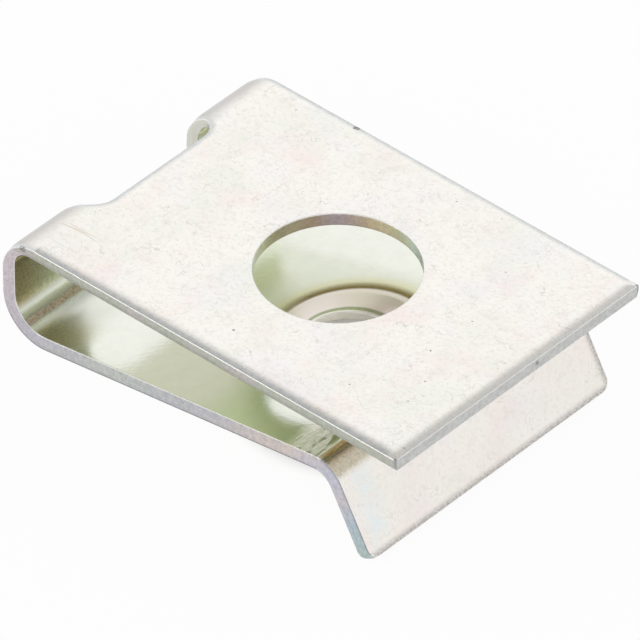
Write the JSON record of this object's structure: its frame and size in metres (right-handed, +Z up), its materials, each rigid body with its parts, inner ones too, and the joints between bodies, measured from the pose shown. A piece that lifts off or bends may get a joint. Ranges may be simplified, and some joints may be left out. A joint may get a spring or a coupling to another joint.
{
  "type": "u clip speed nut",
  "caption": "Folded spring steel U clip nut: a slotted bend joins a top leg with a clearance hole to a lower leg with a pressed thread impression and a turned-down lead-in flare.",
  "frame": {"origin": "centre of the clearance hole on the top leg's outer face", "axes": "+X runs from the bend towards the open mouth, +Y across the clip, +Z up from the surface that the clip lies on, with the bend and the flare's tip touching it"},
  "size_m": [0.0215, 0.0148, 0.0066],
  "materials": {
    "plated_spring_steel": "satin zinc plate with a clear, faintly iridescent passivation"
  },
  "bodies": {
    "root": {"clip": "plated_spring_steel"}
  },
  "joints": []
}
